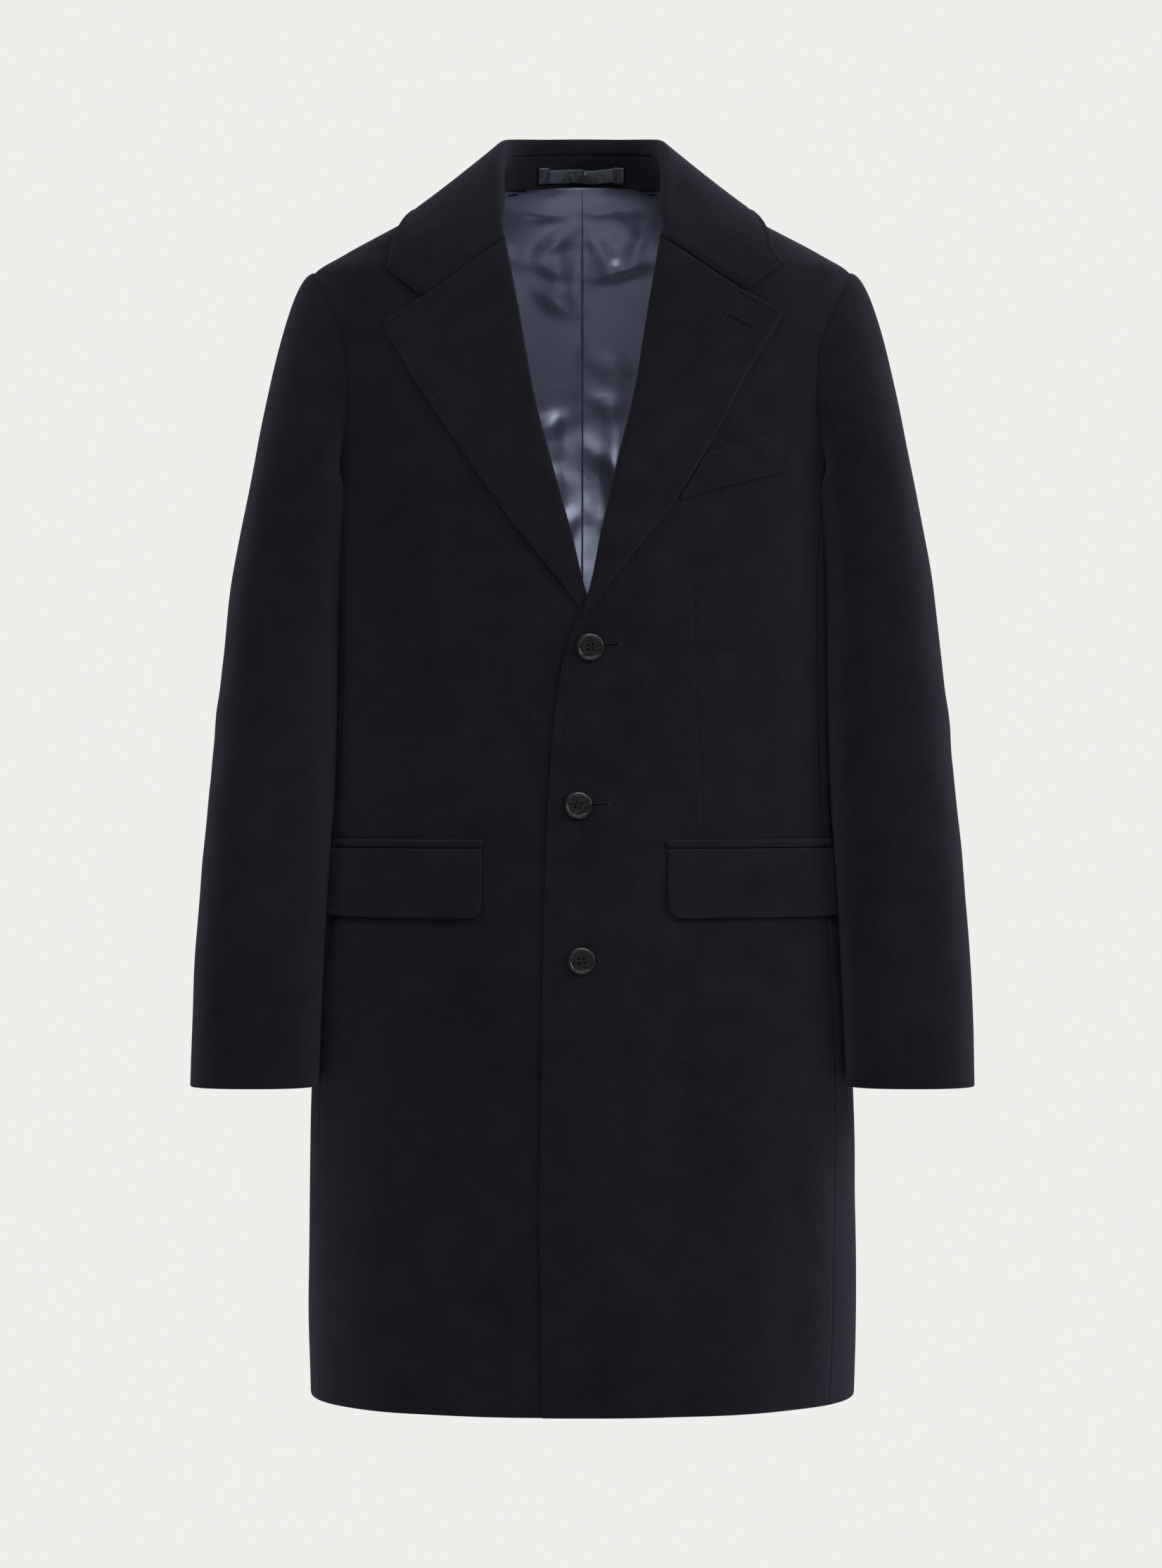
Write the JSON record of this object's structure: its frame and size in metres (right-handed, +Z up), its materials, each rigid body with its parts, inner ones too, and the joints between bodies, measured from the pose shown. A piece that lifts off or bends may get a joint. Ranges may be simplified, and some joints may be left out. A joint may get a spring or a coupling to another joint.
{
  "type": "wool overcoat",
  "caption": "Single-breasted wool overcoat with notch lapels, flap pockets and a breast welt, buttoned, open at neck, cuffs and hem, keeping the hollow form of a wearer.",
  "frame": {"origin": "middle of the neck hole, level with the side neck points, where the wearer's shoulders carry the coat", "axes": "+Z up towards the collar, -Y out of the coat's front, +X towards the wearer's left"},
  "size_m": [0.6224, 0.3238, 1.0244],
  "materials": {
    "wool": "matte brushed navy wool coating",
    "lining": "satin twill lining, steel blue",
    "ribbon": "navy satin ribbon",
    "horn": "polished black button"
  },
  "bodies": {
    "root": {"front_left": "wool", "front_right": "wool", "side_left": "wool", "side_right": "wool", "back_left": "wool", "back_right": "wool", "lapel_left": "wool", "lapel_right": "wool", "pocket_jet_left": "wool", "pocket_jet_right": "wool", "pocket_flap_left": "wool", "pocket_flap_right": "wool", "breast_welt": "wool", "collar_fall": "wool", "collar_stand": "wool", "sleeve_top_left": "wool", "sleeve_top_right": "wool", "sleeve_under_left": "wool", "sleeve_under_right": "wool", "lining_back_left": "lining", "lining_back_right": "lining", "hanger_loop": "ribbon", "button_front_1": "horn", "button_front_2": "horn", "button_front_3": "horn", "button_sleeve_left_1": "horn", "button_sleeve_left_2": "horn", "button_sleeve_left_3": "horn", "button_sleeve_left_4": "horn", "button_sleeve_right_1": "horn", "button_sleeve_right_2": "horn", "button_sleeve_right_3": "horn", "button_sleeve_right_4": "horn"}
  },
  "joints": []
}
